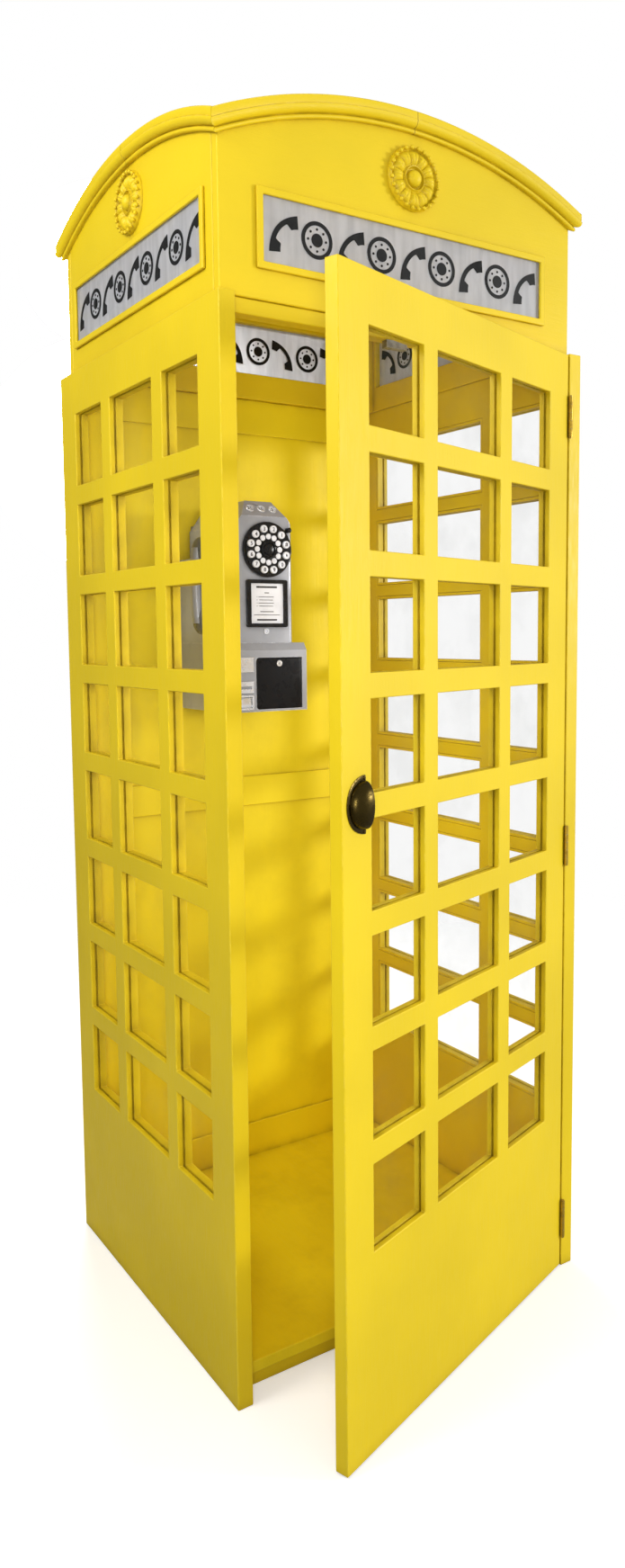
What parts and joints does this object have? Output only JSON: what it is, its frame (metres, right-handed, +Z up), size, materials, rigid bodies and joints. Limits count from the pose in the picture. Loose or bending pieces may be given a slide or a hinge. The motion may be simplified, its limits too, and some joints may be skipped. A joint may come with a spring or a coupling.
{
  "type": "telephone kiosk",
  "caption": "Timber telephone kiosk with glazed sides, arched sign box and a hinged glazed door standing part open, with a grey push-button payphone on its back wall.",
  "frame": {"origin": "middle of the kiosk's footprint on the ground, under the floor's middle joist", "axes": "+Z up, front with the door towards -Y, +X to the right seen from the front"},
  "size_m": [0.909, 1.0961, 2.5901],
  "materials": {
    "kiosk_paint": "satin gloss paint on timber",
    "window_glass": "clear",
    "opal_glass": "frosted opal",
    "hinge_steel": "painted over, worn",
    "dark_bronze": "aged bronze",
    "zinc_steel": "plated",
    "grey_enamel": "silver-grey enamel",
    "black_plastic": "gloss black",
    "black_enamel": "gloss black enamel",
    "white_plastic": "gloss white",
    "card": "printed card",
    "bright_chrome": "polished",
    "board_green": "solder mask"
  },
  "bodies": {
    "kiosk": {"floor_board": "kiosk_paint", "floor_joists": "kiosk_paint", "left_side_frame": "kiosk_paint", "right_side_frame": "kiosk_paint", "side_beads": "kiosk_paint", "back_frame": "kiosk_paint", "back_panels": "kiosk_paint", "header_rail": "kiosk_paint", "fascias": "kiosk_paint", "sign_mouldings": "kiosk_paint", "medallions": "kiosk_paint", "cornices": "kiosk_paint", "roof_shell": "kiosk_paint", "corner_posts": "kiosk_paint", "side_glass": "window_glass", "sign_glass": "opal_glass", "frame_hinge_leaves": "hinge_steel", "hinge_pins": "hinge_steel", "catch_magnet": "zinc_steel", "back_plate": "zinc_steel", "coin_box": "zinc_steel", "coin_chute": "zinc_steel", "ringer": "zinc_steel", "upper_housing": "grey_enamel", "coin_head": "grey_enamel", "lower_housing": "grey_enamel", "handset_cradle": "grey_enamel", "dial_plate": "black_plastic", "dial_hub": "black_plastic", "card_frame": "black_plastic", "coin_slot_rings": "bright_chrome", "return_bezel": "bright_chrome", "instruction_card": "card", "circuit_board": "board_green"},
    "door": {"door_frame": "kiosk_paint", "door_glass": "window_glass", "door_beads": "kiosk_paint", "door_hinge_leaves": "hinge_steel", "cup_pull": "dark_bronze", "cup_pull_screws": "dark_bronze", "catch_plate": "zinc_steel"},
    "upper_lock": {"upper_lock": "bright_chrome"},
    "vault_door": {"vault_door": "black_enamel"},
    "vault_lock": {"vault_lock": "bright_chrome"},
    "return_flap": {"return_flap": "bright_chrome"},
    "release_button": {"release_button": "black_plastic"},
    "handset": {"handset": "grey_enamel"},
    "hook_lever": {"hook_lever": "bright_chrome"},
    "push_button_01": {"push_button_01": "white_plastic"},
    "push_button_02": {"push_button_02": "white_plastic"},
    "push_button_03": {"push_button_03": "white_plastic"},
    "push_button_04": {"push_button_04": "white_plastic"},
    "push_button_05": {"push_button_05": "white_plastic"},
    "push_button_06": {"push_button_06": "white_plastic"},
    "push_button_07": {"push_button_07": "white_plastic"},
    "push_button_08": {"push_button_08": "white_plastic"},
    "push_button_09": {"push_button_09": "white_plastic"},
    "push_button_10": {"push_button_10": "white_plastic"},
    "push_button_11": {"push_button_11": "white_plastic"},
    "push_button_12": {"push_button_12": "white_plastic"}
  },
  "joints": [
    {"name": "door_hinge", "type": "hinge", "parent": "kiosk", "child": "door", "pos_m": [0.4145, -0.4173, 0], "axis": [0, 0, 1], "range_deg": [-18.6, 81.4]},
    {"name": "vault_hinge", "type": "hinge", "parent": "kiosk", "child": "vault_door", "pos_m": [0.034, 0.122, 1.32], "axis": [0, 0, 1], "range_deg": [0, 90]},
    {"name": "vault_lock_turn", "type": "hinge", "parent": "vault_door", "child": "vault_lock", "pos_m": [-0.026, 0.118, 1.43], "axis": [0, 1, 0], "range_deg": [0, 90]},
    {"name": "upper_lock_turn", "type": "hinge", "parent": "kiosk", "child": "upper_lock", "pos_m": [-0.054, 0.13, 1.508], "axis": [0, 1, 0], "range_deg": [0, 90]},
    {"name": "return_flap_swing", "type": "hinge", "parent": "kiosk", "child": "return_flap", "pos_m": [-0.126, 0.1205, 1.3475], "axis": [1, 0, 0], "range_deg": [0, 60]},
    {"name": "release_press", "type": "slide", "parent": "kiosk", "child": "release_button", "axis": [0, 1, 0], "range_m": [0, 0.004], "stiffness_N_per_m": 400},
    {"name": "handset_lift", "type": "slide", "parent": "kiosk", "child": "handset", "axis": [0, 0, 1], "range_m": [0, 0.08]},
    {"name": "hook_rise", "type": "hinge", "parent": "kiosk", "child": "hook_lever", "pos_m": [-0.148, 0.204, 1.67502], "axis": [0, 1, 0], "range_deg": [0, 12]},
    {"name": "button_press_01", "type": "slide", "parent": "kiosk", "child": "push_button_01", "axis": [0, 1, 0], "range_m": [0, 0.0025], "stiffness_N_per_m": 400},
    {"name": "button_press_02", "type": "slide", "parent": "kiosk", "child": "push_button_02", "axis": [0, 1, 0], "range_m": [0, 0.0025], "stiffness_N_per_m": 400},
    {"name": "button_press_03", "type": "slide", "parent": "kiosk", "child": "push_button_03", "axis": [0, 1, 0], "range_m": [0, 0.0025], "stiffness_N_per_m": 400},
    {"name": "button_press_04", "type": "slide", "parent": "kiosk", "child": "push_button_04", "axis": [0, 1, 0], "range_m": [0, 0.0025], "stiffness_N_per_m": 400},
    {"name": "button_press_05", "type": "slide", "parent": "kiosk", "child": "push_button_05", "axis": [0, 1, 0], "range_m": [0, 0.0025], "stiffness_N_per_m": 400},
    {"name": "button_press_06", "type": "slide", "parent": "kiosk", "child": "push_button_06", "axis": [0, 1, 0], "range_m": [0, 0.0025], "stiffness_N_per_m": 400},
    {"name": "button_press_07", "type": "slide", "parent": "kiosk", "child": "push_button_07", "axis": [0, 1, 0], "range_m": [0, 0.0025], "stiffness_N_per_m": 400},
    {"name": "button_press_08", "type": "slide", "parent": "kiosk", "child": "push_button_08", "axis": [0, 1, 0], "range_m": [0, 0.0025], "stiffness_N_per_m": 400},
    {"name": "button_press_09", "type": "slide", "parent": "kiosk", "child": "push_button_09", "axis": [0, 1, 0], "range_m": [0, 0.0025], "stiffness_N_per_m": 400},
    {"name": "button_press_10", "type": "slide", "parent": "kiosk", "child": "push_button_10", "axis": [0, 1, 0], "range_m": [0, 0.0025], "stiffness_N_per_m": 400},
    {"name": "button_press_11", "type": "slide", "parent": "kiosk", "child": "push_button_11", "axis": [0, 1, 0], "range_m": [0, 0.0025], "stiffness_N_per_m": 400},
    {"name": "button_press_12", "type": "slide", "parent": "kiosk", "child": "push_button_12", "axis": [0, 1, 0], "range_m": [0, 0.0025], "stiffness_N_per_m": 400}
  ],
  "couplings": [
    {"joint": "hook_rise", "follows": "handset_lift", "rad_per_m": 2.6154}
  ]
}
